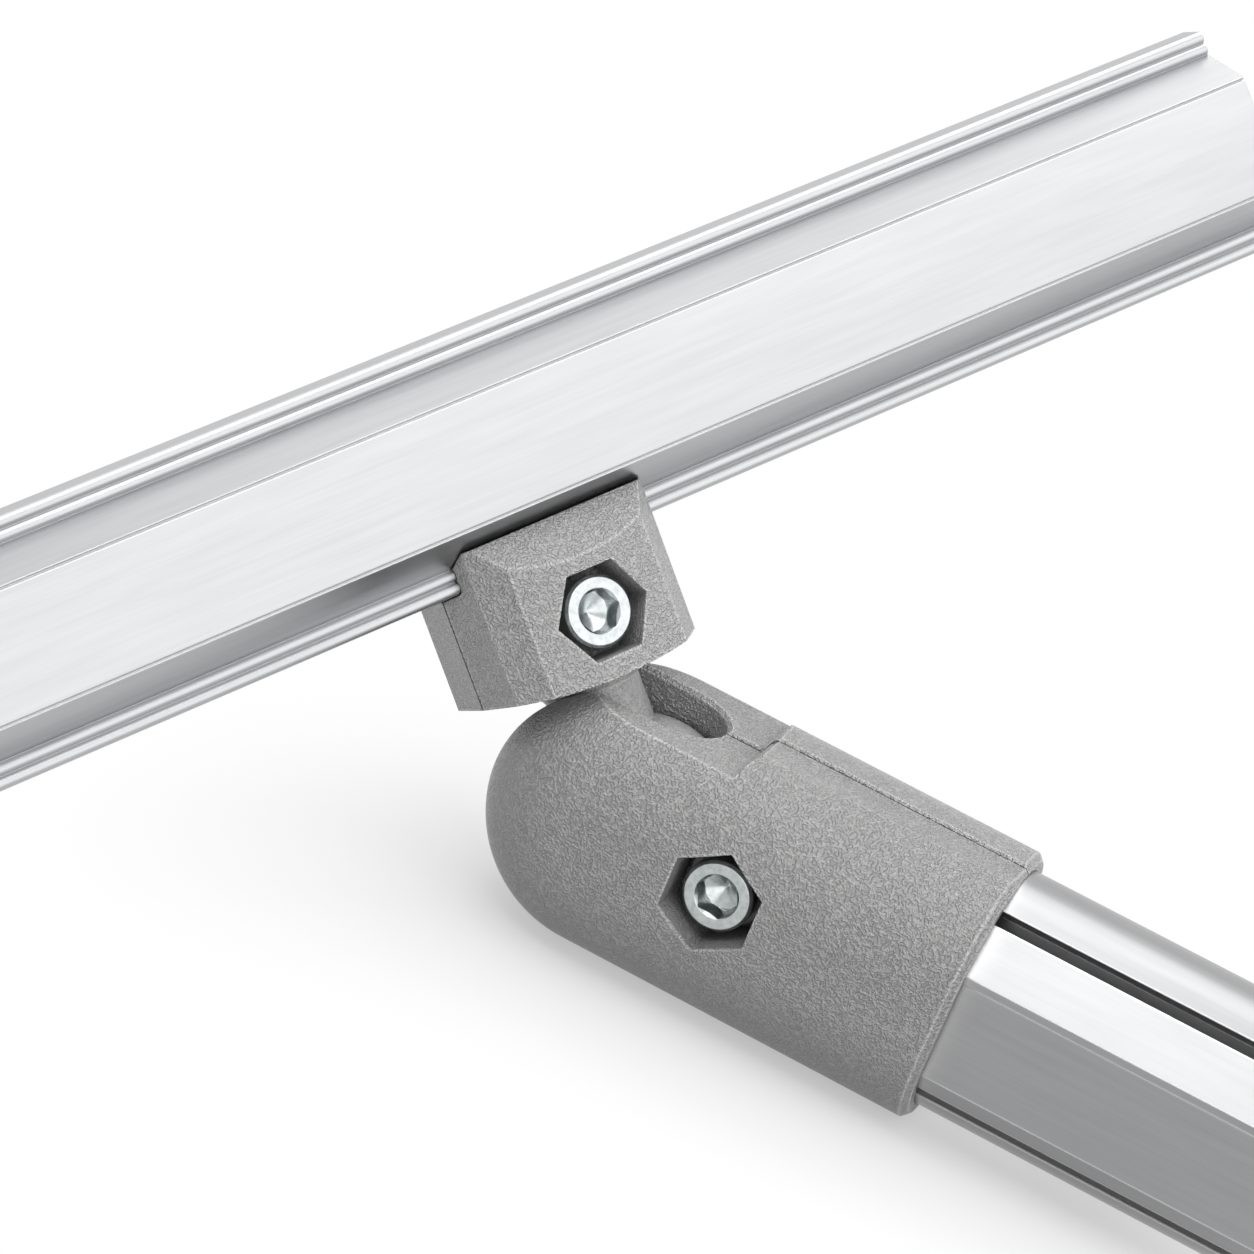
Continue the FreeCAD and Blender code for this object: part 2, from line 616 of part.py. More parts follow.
def jaws():
    """Front and rear jaw."""
    blank = jaw_blank()
    for cutter in jaw_inside():
        blank = blank.cut(cutter)
    halves = []
    for side in (-1, 1):
        halves.append(clean(blank.common(half_space(side, JAW_PARTING_GAP))))
    return halves


def jaw_screw():
    """Clamp screw of the jaws."""
    seat = Vector(0, -jaw_head_seat(), JAW_SCREW_HEIGHT)
    return cap_screw(seat, Vector(0, -1, 0), JAW_SCREW_LENGTH, Vector(1, 0, 0))


def jaw_nut():
    """Nut on the tip of the jaws' screw."""
    seat = Vector(0, jaw_nut_seat(), JAW_SCREW_HEIGHT)
    return hex_nut(seat, Vector(0, 1, 0), Vector(1, 0, 0))


# Clamp rail, in the block's frame

def bead_base():
    """Height above the rail's axis where the flank starts."""
    return RAIL_HALF_HEIGHT - BEAD_HEIGHT


def rail_flank_depth(height):
    """Depth of the straight flank at a height above or below the rail's axis."""
    low, high = RAIL_BAND_HALF + RAIL_LINE, bead_base()
    share = (high - height) / (high - low)
    return BEAD_HALF + share * (RAIL_BAND_DEPTH - BEAD_HALF)


def rail_quarter(side, up):
    """Edges of one quarter of the section, from the bead's top to the band, and the band's end."""
    def point(depth, height):
        return Vector(0, side * depth, up * height)
    top, base = RAIL_HALF_HEIGHT, bead_base()
    rib = (BEAD_HEIGHT - BEAD_CROWN) / 2
    shoulder = point(BEAD_HALF - BEAD_VALLEY, top - BEAD_CROWN)
    upper_rib = point(BEAD_HALF, top - BEAD_CROWN - rib / 2)
    valley = point(BEAD_HALF - BEAD_VALLEY, base + rib)
    lower_rib = point(BEAD_HALF, base + rib / 2)
    neck = point(BEAD_HALF - BEAD_VALLEY, base)
    flank_end = point(RAIL_BAND_DEPTH, RAIL_BAND_HALF + RAIL_LINE)
    line = point(RAIL_BAND_DEPTH - RAIL_LINE, RAIL_BAND_HALF)
    band = point(RAIL_BAND_DEPTH, RAIL_BAND_HALF - RAIL_LINE)
    return [Part.makeLine(point(0, top), shoulder), Part.Arc(shoulder, upper_rib, valley).toShape(),
            Part.Arc(valley, lower_rib, neck).toShape(), Part.makeLine(neck, flank_end),
            Part.makeLine(flank_end, line), Part.makeLine(line, band)], band


def rail_outline():
    """Section of the rail without its hollows."""
    edges = []
    for side in (-1, 1):
        upper, upper_band = rail_quarter(side, 1)
        lower, lower_band = rail_quarter(side, -1)
        crown = Vector(0, side * (RAIL_BAND_DEPTH + RAIL_CROWN), 0)
        edges += upper + lower + [Part.Arc(upper_band, crown, lower_band).toShape()]
    return face_of(edges)


def rail_chamber(up):
    """Hollow of the rail above or below its middle web."""
    web = RAIL_WEB / 2
    wall = RAIL_BAND_DEPTH - RAIL_LINE - RAIL_WALL
    top = bead_base() - RAIL_WALL
    shoulder = RAIL_BAND_HALF - RAIL_WALL
    tip = BEAD_HALF - BEAD_VALLEY - RAIL_WALL / 2
    corners = [(-wall, web), (wall, web), (wall, shoulder), (tip, top), (-tip, top), (-wall, shoulder)]
    room = polygon_face([Vector(0, y, up * z) for y, z in corners])
    return room.cut(disc(CORE_BORE_RADIUS + CORE_WALL))


def clamp_rail():
    """Hollow rail with a double-ridged bead along each edge."""
    section = rail_outline().cut(rail_chamber(1)).cut(rail_chamber(-1)).cut(disc(CORE_BORE_RADIUS))
    rail = section.extrude(Vector(RAIL_REACH_RIGHT + RAIL_REACH_LEFT, 0, 0))
    rail.translate(Vector(-RAIL_REACH_LEFT, 0, RAIL_AXIS_HEIGHT))
    return clean(rail)


def pose_block(shape):
    """Turns a piece from the block's frame to the rest pose: twist about the stem, then swing."""
    twist = Placement(Vector(0, 0, 0), Rotation(Vector(0, 0, 1), TWIST_REST))
    swing = Placement(Vector(0, 0, 0), Rotation(Vector(0, 1, 0), SWING_REST - 90.0))
    posed = shape.copy()
    posed.transformShape(swing.multiply(twist).toMatrix())
    return posed


os.makedirs("parts", exist_ok=True)
front_shell, rear_shell = housing_shells()
front_jaw, rear_jaw = jaws()
export(profile_tube(), "profile_tube")
export(front_shell, "housing_front_shell")
export(rear_shell, "housing_rear_shell")
export(housing_screw(), "housing_clamp_screw")
export(housing_washer(), "housing_screw_washer")
export(housing_nut(), "housing_clamp_nut")
export(pose_block(ball_stud()), "ball_stud")
export(pose_block(front_jaw), "front_jaw")
export(pose_block(rear_jaw), "rear_jaw")
export(pose_block(jaw_screw()), "jaw_clamp_screw")
export(pose_block(jaw_nut()), "jaw_clamp_nut")
export(pose_block(clamp_rail()), "clamp_rail")
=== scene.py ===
"""Looks of a ball-jointed clamp that joins a slotted profile tube to a clamp rail."""
import json
import logging
from dataclasses import dataclass, field
from enum import Enum
from typing import Any, Dict, List, Tuple, Union

import bpy
from mathutils import Matrix, Vector


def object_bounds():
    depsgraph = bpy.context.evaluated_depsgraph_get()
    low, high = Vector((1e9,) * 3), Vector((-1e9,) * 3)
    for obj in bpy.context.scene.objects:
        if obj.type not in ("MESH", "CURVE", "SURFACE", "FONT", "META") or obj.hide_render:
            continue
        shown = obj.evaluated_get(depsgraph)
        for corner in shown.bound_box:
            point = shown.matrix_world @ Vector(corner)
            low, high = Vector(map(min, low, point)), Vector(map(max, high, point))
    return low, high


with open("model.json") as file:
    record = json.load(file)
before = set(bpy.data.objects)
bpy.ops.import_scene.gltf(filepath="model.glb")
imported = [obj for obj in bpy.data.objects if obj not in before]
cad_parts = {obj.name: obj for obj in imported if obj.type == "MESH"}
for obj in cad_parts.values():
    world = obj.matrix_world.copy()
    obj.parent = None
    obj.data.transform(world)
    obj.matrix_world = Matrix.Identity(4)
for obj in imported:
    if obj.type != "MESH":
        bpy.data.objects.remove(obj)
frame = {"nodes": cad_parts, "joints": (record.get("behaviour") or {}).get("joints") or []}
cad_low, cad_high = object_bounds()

LOG = logging.getLogger("pivot_joint")
MM = 0.001
WHITE = (1.0, 1.0, 1.0, 1.0)
NOISE_MIDDLE = 0.5
BEVEL_SAMPLES = 4
OPENNESS_SAMPLES = 6

Colour = Tuple[float, float, float]
Direction = Tuple[float, float, float]
Place = Tuple[float, float, float]
Pair = Tuple[float, float]
Socket = bpy.types.NodeSocket


class Profile(Enum):
    """The profile whose length a drawn finish follows."""

    TUBE = "tube"
    RAIL = "rail"


def joint(name: str) -> Dict[str, Any]:
    """Finds a joint of the model.

    Args:
        name: The joint's name in the record.

    Returns:
        The joint's entry in the frame.

    Raises:
        KeyError: The model has no joint of this name.
    """
    for entry in frame["joints"]:
        if entry["name"] == name:
            return entry
    raise KeyError(name)


def joint_axis(name: str) -> Vector:
    """Direction of a joint at rest, as a unit vector."""
    return Vector(joint(name)["axis"]).normalized()


def joint_place(name: str) -> Vector:
    """Point on a hinge's axis at rest, in metres."""
    return Vector(joint(name)["pos_m"])


def times(colour: Colour, factor: float) -> Colour:
    """A colour made lighter or darker by a factor."""
    return tuple(factor * part for part in colour)


@dataclass
class NodeGraph:
    """A node tree of a material or a world, with short calls to fill it.

    Attributes:
        owner: The material or the world that the tree belongs to.
    """

    owner: Union[bpy.types.Material, bpy.types.World]

    @classmethod
    def start(cls, owner: Union[bpy.types.Material, bpy.types.World]) -> "NodeGraph":
        """Empties a material or a world.

        Args:
            owner: The new material or world.

        Returns:
            Its graph, with no node in it.
        """
        owner.use_nodes = True
        owner.node_tree.nodes.clear()
        return cls(owner)

    @classmethod
    def material(cls, name: str) -> "NodeGraph":
        """Graph of a new, empty material of the given name."""
        return cls.start(bpy.data.materials.new(name))

    def add(self, kind: str, **settings: Any) -> bpy.types.Node:
        """Adds one node.

        Args:
            kind: Blender's type name of the node, without its ShaderNode prefix.
            **settings: Properties to set on the node.

        Returns:
            The new node.
        """
        node = self.owner.node_tree.nodes.new("ShaderNode" + kind)
        for key, value in settings.items():
            setattr(node, key, value)
        return node

    def feed(self, socket: Socket, value: Any) -> None:
        """Links a socket to another, or sets its value.

        Args:
            socket: The input to fill.
            value: An output socket, a number or a tuple.
        """
        if isinstance(value, Socket):
            self.owner.node_tree.links.new(value, socket)
        else:
            socket.default_value = value

    def fill(self, node: bpy.types.Node, inputs: Dict[str, Any]) -> None:
        """Feeds inputs of a node by their names, each from a socket, a number or a tuple."""
        for name, value in inputs.items():
            self.feed(node.inputs[name], value)

    def math(self, operation: str, *values: Any) -> Socket:
        """Adds a math node.

        Args:
            operation: Blender's name of the operation.
            *values: Sockets or numbers for its inputs, in order.

        Returns:
            The result's socket.
        """
        node = self.add("Math", operation=operation)
        for index, value in enumerate(values):
            self.feed(node.inputs[index], value)
        return node.outputs[0]

    def inverse(self, value: Any) -> Socket:
        """What is left of one when a number is taken from it."""
        return self.math("SUBTRACT", 1.0, value)

    def squared(self, value: Any) -> Socket:
        """The square of a number."""
        return self.math("POWER", value, 2.0)

    def between(self, value: Any, low: float, high: float) -> Socket:
        """Maps a number from 0 to 1 onto the range from low to high."""
        return self.math("ADD", low, self.math("MULTIPLY", value, high - low))

    def blend(self, first: Any, share: float, second: Any) -> Socket:
        """Adds two numbers by their shares.

        Args:
            first: The first number.
            share: Its share, from 0 to 1.
            second: The second number, which takes the rest.

        Returns:
            The sum's socket.
        """
        main = self.math("MULTIPLY", first, share)
        rest = self.math("MULTIPLY", second, 1.0 - share)
        return self.math("ADD", main, rest)

    def ramp(self, factor: Socket, places: Pair, dark: Colour, light: Colour) -> Socket:
        """Adds a ramp between two colours.

        Args:
            factor: The number that picks the colour.
            places: The numbers at which the dark and the light colour are reached.
            dark: The dark colour.
            light: The light colour.

        Returns:
            The colour's socket.
        """
        node = self.add("ValToRGB")
        for element, place, colour in zip(node.color_ramp.elements, places, (dark, light)):
            element.position = place
            element.color = (*colour, 1.0)
        self.feed(node.inputs["Fac"], factor)
        return node.outputs["Color"]

    def noise(self, vector: Socket, scale: float, detail: float = 2.0, rough: float = 0.5) -> Socket:
        """Adds a noise texture.

        Args:
            vector: Coordinates.
            scale: Waves per unit of the coordinates.
            detail: Number of octaves added to the first.
            rough: Share that each octave keeps.

        Returns:
            The noise value's socket.
        """
        node = self.add("TexNoise")
        self.fill(node, {"Vector": vector, "Scale": scale, "Detail": detail, "Roughness": rough})
        return node.outputs["Fac"]

    def ridge(self, value: Socket, gain: float) -> Socket:
        """Turns a noise into crests of 1 where it passes its middle, which fall to 0 with the gain."""
        away = self.math("ABSOLUTE", self.math("SUBTRACT", value, NOISE_MIDDLE))
        return self.math("MAXIMUM", self.inverse(self.math("MULTIPLY", away, gain)), 0.0)

    def bump(self, height: Socket, distance: float, strength: float, normal: Socket) -> Socket:
        """Adds a bump node.

        Args:
            height: Height from 0 to 1.
            distance: Height of the relief in metres.
            strength: Share of the relief that shows.
            normal: Normal to start from.

        Returns:
            The bumped normal's socket.
        """
        node = self.add("Bump")
        self.fill(node, {"Height": height, "Distance": distance, "Strength": strength, "Normal": normal})
        return node.outputs["Normal"]

    def place(self) -> Socket:
        """Coordinates of the piece itself, in metres."""
        return self.add("TexCoord").outputs["Object"]

    def rounded(self, radius: float) -> Socket:
        """Normal of the surface with its edges rounded off.

        Args:
            radius: Radius of the edges in metres.

        Returns:
            The rounded normal's socket.
        """
        node = self.add("Bevel", samples=BEVEL_SAMPLES)
        self.feed(node.inputs["Radius"], radius)
        return node.outputs["Normal"]

    def turning(self, normal: Socket, gain: float) -> Socket:
        """Tells where a rounded normal leaves the surface's own, as it does at an edge.

        Args:
            normal: The rounded normal.
            gain: How fast the answer rises from 0 to 1.

        Returns:
            A number from 0 on the faces to 1 at the edges.
        """
        dot = self.add("VectorMath", operation="DOT_PRODUCT")
        self.feed(dot.inputs[0], normal)
        self.feed(dot.inputs[1], self.add("NewGeometry").outputs["Normal"])
        bent = self.inverse(dot.outputs["Value"])
        return self.math("MINIMUM", self.math("MULTIPLY", bent, gain), 1.0)

    def openness(self, reach: float) -> Socket:
        """Tells how open the surroundings are.

        Args:
            reach: Distance that counts as near, in metres.

        Returns:
            A number from 0 in a deep corner to 1 on an outer face.
        """
        node = self.add("AmbientOcclusion", samples=OPENNESS_SAMPLES)
        self.feed(node.inputs["Distance"], reach)
        return node.outputs["AO"]

    def tint(self, colour: Socket, share: Any, other: Colour) -> Socket:
        """Mixes a colour with another.

        Args:
            colour: The colour to change.
            share: Share of the other colour.
            other: The other colour.

        Returns:
            The mixed colour's socket.
        """
        node = self.add("MixRGB")
        self.fill(node, {"Fac": share, "Color1": colour, "Color2": (*other, 1.0)})
        return node.outputs["Color"]

    def turned(self, vector: Socket, rotation: Matrix, scale: Vector) -> Socket:
        """Turns and stretches coordinates.

        Args:
            vector: Coordinates.
            rotation: Rotation from the frame to the stretched axes.
            scale: Factor along each of the stretched axes.

        Returns:
            The new coordinates.
        """
        turn = self.add("Mapping", vector_type="POINT")
        self.fill(turn, {"Vector": vector, "Rotation": rotation.to_euler("XYZ")})
        stretch = self.add("Mapping", vector_type="POINT")
        self.fill(stretch, {"Vector": turn.outputs["Vector"], "Scale": scale})
        return stretch.outputs["Vector"]

    def surface(self, colour: Socket, metallic: float, roughness: Socket, normal: Socket,
                specular: float = 0.5) -> bpy.types.Material:
        """Ends the graph in a principled surface.

        Args:
            colour: The colour's socket.
            metallic: Share of metal, 0 to 1.
            roughness: The roughness's socket.
            normal: The normal's socket.
            specular: Specular level.

        Returns:
            The finished material.
        """
        shader = self.add("BsdfPrincipled")
        shader.inputs["Metallic"].default_value = metallic
        shader.inputs["Specular IOR Level"].default_value = specular
        self.fill(shader, {"Base Color": colour, "Roughness": roughness, "Normal": normal})
        self.end("OutputMaterial", shader.outputs["BSDF"])
        return self.owner

    def end(self, kind: str, shader: Socket) -> None:
        """Ends the graph in an output node of the given kind, for a material or a world."""
        self.feed(self.add(kind).inputs["Surface"], shader)

    def background_ray(self) -> Socket:
        """Tells which rays show the background as white: camera, glossy and transmission rays.

        Returns:
            1 for these rays and 0 for the rays that light the object.
        """
        path = self.add("LightPath")
        mirrored = self.math("MAXIMUM", path.outputs["Is Glossy Ray"], path.outputs["Is Transmission Ray"])
        return self.math("MAXIMUM", path.outputs["Is Camera Ray"], mirrored)


@dataclass(frozen=True)
class CastFinish:
    """Cast skin with a grain of fine winding crests, a painted highlight on its edges and painted shade in
    its corners.

    Attributes:
        name: Name of the material.
        shade: Middle grey of the skin.
        spread: How far the grey goes to each side of the middle.
        cool: Tint of the darkest grey.
        warm: Tint of the lightest grey.
        tones: Values of the pattern at which the darkest and the lightest grey are reached.
        grain: Length of one wave of the crests, in metres.
        fine_ratio: Waves of the fine grain to one of the crests.
        crest_gain: How fast the crests fall off.
        crest_share: Share of the crests in the grain, beside the fine grain.
        grain_share: Share of the grain in the grey, beside the clouds.
        cloud_waves: Waves of the clouds per metre.
        relief: Height of the grain in metres.
        relief_share: Share of that height that shows.
        roughness: Roughness in the darkest and in the lightest cloud.
        metallic: Share of metal.
        specular: Specular level.
        edge_radius: Radius of the edges in metres.
        edge_gain: How fast an edge turns bright.
        edge_highlight: Colour of the highlight painted on the edges.
        edge_polish: How much less rough the polished edges are, where the highlight is painted.
        corner_reach: Distance that counts as near in a corner, in metres.
        painted_shade_share: Share of painted shade in the deepest corner.
        corner_shade: Colour of the shade painted into the corners.
    """

    name: str
    shade: float = 0.38
    spread: float = 0.06
    cool: Colour = (1.0, 1.0, 1.005)
    warm: Colour = (1.0, 0.995, 0.985)
    tones: Pair = (0.3, 0.75)
    grain: float = 0.52 * MM
    fine_ratio: float = 4.0
    crest_gain: float = 7.0
    crest_share: float = 0.7
    grain_share: float = 0.7
    cloud_waves: float = 70.0
    relief: float = 0.22 * MM
    relief_share: float = 1.0
    roughness: Pair = (0.25, 0.35)
    metallic: float = 0.1
    specular: float = 0.6
    edge_radius: float = 0.5 * MM
    edge_gain: float = 22.0
    edge_highlight: Colour = (0.74, 0.74, 0.73)
    edge_polish: float = 0.18
    corner_reach: float = 1.0 * MM
    painted_shade_share: float = 0.9
    corner_shade: Colour = (0.05, 0.05, 0.05)

    def build(self) -> bpy.types.Material:
        """Makes the material.

        Returns:
            The cast finish as a node material.
        """
        graph = NodeGraph.material(self.name)
        place = graph.place()
        coarse = graph.noise(place, 1.0 / self.grain, detail=1.0, rough=0.4)
        fine = graph.noise(place, self.fine_ratio / self.grain, detail=1.0)
        grain = graph.blend(graph.ridge(coarse, self.crest_gain), self.crest_share, fine)
        cloud = graph.noise(place, self.cloud_waves)
        tone = graph.blend(grain, self.grain_share, cloud)
        dark = times(self.cool, self.shade - self.spread)
        light = times(self.warm, self.shade + self.spread)
        colour = graph.ramp(tone, self.tones, dark, light)
        rounded = graph.rounded(self.edge_radius)
        open_air = graph.openness(self.corner_reach)
        # Turning edges are painted lighter, which is a painted highlight, and are also made less rough as
        # polished wear.
        wear_and_highlight = graph.math("MULTIPLY", graph.turning(rounded, self.edge_gain), graph.squared(open_air))
        colour = graph.tint(colour, wear_and_highlight, self.edge_highlight)
        # Corners are painted darker where little light reaches them: painted shade.
        shade_in_corners = graph.math("MULTIPLY", graph.inverse(open_air), self.painted_shade_share)
        colour = graph.tint(colour, shade_in_corners, self.corner_shade)
        rough = graph.between(cloud, *self.roughness)
        rough = graph.math("SUBTRACT", rough, graph.math("MULTIPLY", wear_and_highlight, self.edge_polish))
        normal = graph.bump(grain, self.relief, self.relief_share, rounded)
        return graph.surface(colour, self.metallic, rough, normal, self.specular)


@dataclass(frozen=True)
class DrawnFinish:
    """Satin anodised aluminium with fine lines along the extrusion.

    Attributes:
        name: Name of the material.
        profile: The profile whose length the lines follow.
        shade: Colour of the metal.
        lines_dark: Factor on the colour in the darkest lines.
        lines_light: Factor on the colour in the lightest lines.
        tones: Values of the pattern at which the darkest and the lightest lines are reached.
        line: Width of one wave of the fine lines, in metres.
        stretch: Waves of the fine lines along the profile to one across it.
        broad: Waves of the broad lines to one of the fine lines, along and across the profile.
        fine_share: Share of the fine lines in the colour, beside the broad ones.
        relief: Height of the lines in metres.
        relief_share: Share of that height that shows.
        roughness: Roughness in the darkest and in the lightest line.
        edge_radius: Radius of the edges in metres.
        edge_gain: How fast an edge turns bright.
        edge_highlight: Colour of the highlight painted on the edges.
        corner_reach: Distance that counts as near in a corner, in metres.
        corner_shade: Colour painted into the deepest corners in place of their light; darker than the metal
            it is painted shade, lighter it is painted bounce light.
        corner_share: Share of that colour there.
    """

    name: str
    profile: Profile
    shade: Colour = (0.445, 0.45, 0.459)
    lines_dark: float = 0.955
    lines_light: float = 1.04
    tones: Pair = (0.35, 0.65)
    line: float = 0.16 * MM
    stretch: float = 0.006
    broad: Pair = (0.012, 0.16)
    fine_share: float = 0.5
    relief: float = 0.004 * MM
    relief_share: float = 0.6
    roughness: Pair = (0.26, 0.34)
    edge_radius: float = 0.22 * MM
    edge_gain: float = 20.0
    edge_highlight: Colour = (0.66, 0.665, 0.67)
    corner_reach: float = 3.0 * MM
    corner_shade: Colour = (0.05, 0.05, 0.052)
    corner_share: float = 0.1

    def rotation(self) -> Matrix:
        """Rotation that brings the drawn direction onto the first axis.

        Returns:
            The matrix from the frame to the drawn surface's axes.
        """
        if self.profile is Profile.TUBE:
            return Matrix.Identity(3)
        along = joint_axis("rail_slide")
        up = joint_axis("block_twist")
        return Matrix((along, up.cross(along), up))

    def lines(self, graph: NodeGraph, waves: Pair, detail: float, rough: float) -> Socket:
        """Draws a noise out into lines along the profile.

        Args:
            graph: The material's graph.
            waves: Waves per metre, along and across the profile.
            detail: Number of octaves added to the first.
            rough: Share that each octave keeps.

        Returns:
            The lines' socket.
        """
        along, across = waves
        place = graph.turned(graph.place(), self.rotation(), Vector((along, across, across)))
        return graph.noise(place, scale=1.0, detail=detail, rough=rough)

    def build(self) -> bpy.types.Material:
        """Makes the material.

        Returns:
            The drawn finish as a node material.
        """
        graph = NodeGraph.material(self.name)
        wave = 1.0 / self.line
        fine = self.lines(graph, (self.stretch * wave, wave), detail=3.0, rough=0.6)
        broad = self.lines(graph, (self.broad[0] * wave, self.broad[1] * wave), detail=1.0, rough=0.5)
        tone = graph.blend(fine, self.fine_share, broad)
        dark = times(self.shade, self.lines_dark)
        light = times(self.shade, self.lines_light)
        colour = graph.ramp(tone, self.tones, dark, light)
        rounded = graph.rounded(self.edge_radius)
        open_air = graph.openness(self.corner_reach)
        # Turning edges are painted lighter: a painted highlight.
        painted_edge_glint = graph.math("MULTIPLY", graph.turning(rounded, self.edge_gain), graph.squared(open_air))
        colour = graph.tint(colour, painted_edge_glint, self.edge_highlight)
        # Deep corners get a painted colour in place of their light: painted shade on the rail, painted
        # bounce light in the tube's slots.
        closed = graph.squared(graph.inverse(open_air))
        colour = graph.tint(colour, graph.math("MULTIPLY", closed, self.corner_share), self.corner_shade)
        rough = graph.between(fine, *self.roughness)
        normal = graph.bump(fine, self.relief, self.relief_share, rounded)
        return graph.surface(colour, metallic=1.0, roughness=rough, normal=normal)


@dataclass(frozen=True)
class ZincFinish:
    """Bright zinc plate with a faint blue cast and small handling marks.

    Attributes:
        name: Name of the material.
        shade: Colour of the plate.
        marks_dark: Factor on the colour in the darkest marks.
        tones: Values of the pattern at which the marks' and the plate's own colour are reached.
        mark: Length of one wave of the marks, in metres.
        relief: Height of the marks in metres.
        relief_share: Share of that height that shows.
        roughness: Roughness in the darkest mark and in the lightest place.
        edge_radius: Radius of the edges in metres.
        edge_gain: How fast an edge turns bright.
        edge_highlight: Colour of the highlight painted on the edges.
    """

    name: str
    shade: Colour = (0.5, 0.53, 0.53)
    marks_dark: float = 0.8
    tones: Pair = (0.35, 0.6)
    mark: float = 0.9 * MM
    relief: float = 0.01 * MM
    relief_share: float = 0.6
    roughness: Pair = (0.14, 0.3)
    edge_radius: float = 0.13 * MM
    edge_gain: float = 6.0
    edge_highlight: Colour = (0.85, 0.88, 0.88)

    def build(self) -> bpy.types.Material:
        """Makes the material.

        Returns:
            The plated finish as a node material.
        """
        graph = NodeGraph.material(self.name)
        marks = graph.noise(graph.place(), 1.0 / self.mark, detail=3.0, rough=0.6)
        colour = graph.ramp(marks, self.tones, times(self.shade, self.marks_dark), self.shade)
        rounded = graph.rounded(self.edge_radius)
        # Turning edges are painted lighter: a painted highlight on the rims.
        colour = graph.tint(colour, graph.turning(rounded, self.edge_gain), self.edge_highlight)
        rough = graph.between(marks, *self.roughness)
        normal = graph.bump(marks, self.relief, self.relief_share, rounded)
        return graph.surface(colour, metallic=1.0, roughness=rough, normal=normal)


def dress(material: bpy.types.Material, *nodes: str) -> None:
    """Gives CAD nodes their finish.

    Args:
        material: The finish.
        *nodes: Names of the nodes that wear it.
    """
    for node in nodes:
        piece = frame["nodes"][node]
        if not piece.material_slots:
            piece.data.materials.append(material)
        for slot in piece.material_slots:
            slot.material = material
        LOG.info("%s wears %s", node, material.name)


@dataclass
class Housing:
    """Two cast shells with their clamp screw, washer and nut."""

    cast: CastFinish = CastFinish("housing_cast")
    plated: ZincFinish = ZincFinish("housing_zinc")
    # The washer wears a much darker, rougher zinc than the screw and nut, with a lighter highlight painted
    # on its edges.
    dark_zinc: ZincFinish = ZincFinish("washer_zinc", shade=(0.16, 0.165, 0.165), roughness=(0.29, 0.45),
                                        edge_highlight=(0.3, 0.31, 0.31))

    def dress(self) -> None:
        """Gives the shells and the fasteners their finishes."""
        dress(self.cast.build(), "housing_front_shell", "housing_rear_shell")
        dress(self.plated.build(), "housing_clamp_screw", "housing_clamp_nut")
        dress(self.dark_zinc.build(), "housing_screw_washer")


@dataclass
class BallStud:
    """Cast ball with its stem."""

    cast: CastFinish = CastFinish("stud_cast", shade=0.41, spread=0.05, relief=0.08 * MM)

    def dress(self) -> None:
        """Gives the stud its finish."""
        dress(self.cast.build(), "ball_stud")


@dataclass
class JawBlock:
    """Two cast jaws with their clamp screw and nut."""

    cast: CastFinish = CastFinish("jaw_cast", shade=0.44)
    plated: ZincFinish = ZincFinish("jaw_zinc", shade=(0.54, 0.57, 0.575))

    def dress(self) -> None:
        """Gives the jaws and the fasteners their finishes."""
        dress(self.cast.build(), "front_jaw", "rear_jaw")
        dress(self.plated.build(), "jaw_clamp_screw", "jaw_clamp_nut")


@dataclass
class Extrusions:
    """The slotted tube and the clamp rail."""

    # The tube's slot insides are painted lighter, a painted bounce light.
    tube: DrawnFinish = DrawnFinish("tube_anodised", Profile.TUBE, shade=(0.31, 0.312, 0.317),
                                    edge_radius=0.32 * MM, edge_highlight=(0.85, 0.85, 0.86),
                                    corner_shade=(0.85, 0.84, 0.83), corner_share=1.0)
    rail: DrawnFinish = DrawnFinish("rail_anodised", Profile.RAIL)

    def dress(self) -> None:
        """Gives both profiles their finishes."""
        dress(self.tube.build(), "profile_tube")
        dress(self.rail.build(), "clamp_rail")


@dataclass
class Softbox:
    """A soft rectangular lamp that looks at the joint.

    Attributes:
        name: Name of the lamp.
        direction: Direction from the joint to the lamp.
        distance: Distance from the joint in metres.
        size: Width and height in metres.
        power: Power in watts.
    """

    name: str
    direction: Direction
    distance: float
    size: Pair
    power: float

    def build(self, target: Vector) -> None:
        """Makes the lamp.

        Args:
            target: Point that the lamp looks at.
        """
        light = bpy.data.lights.new(self.name, "AREA")
        light.shape = "RECTANGLE"
        light.size, light.size_y = self.size
        light.energy = self.power
        lamp = bpy.data.objects.new(self.name, light)
        towards = Vector(self.direction).normalized()
        lamp.location = target + towards * self.distance
        lamp.rotation_euler = towards.to_track_quat("Z", "Y").to_euler()
        bpy.context.scene.collection.objects.link(lamp)


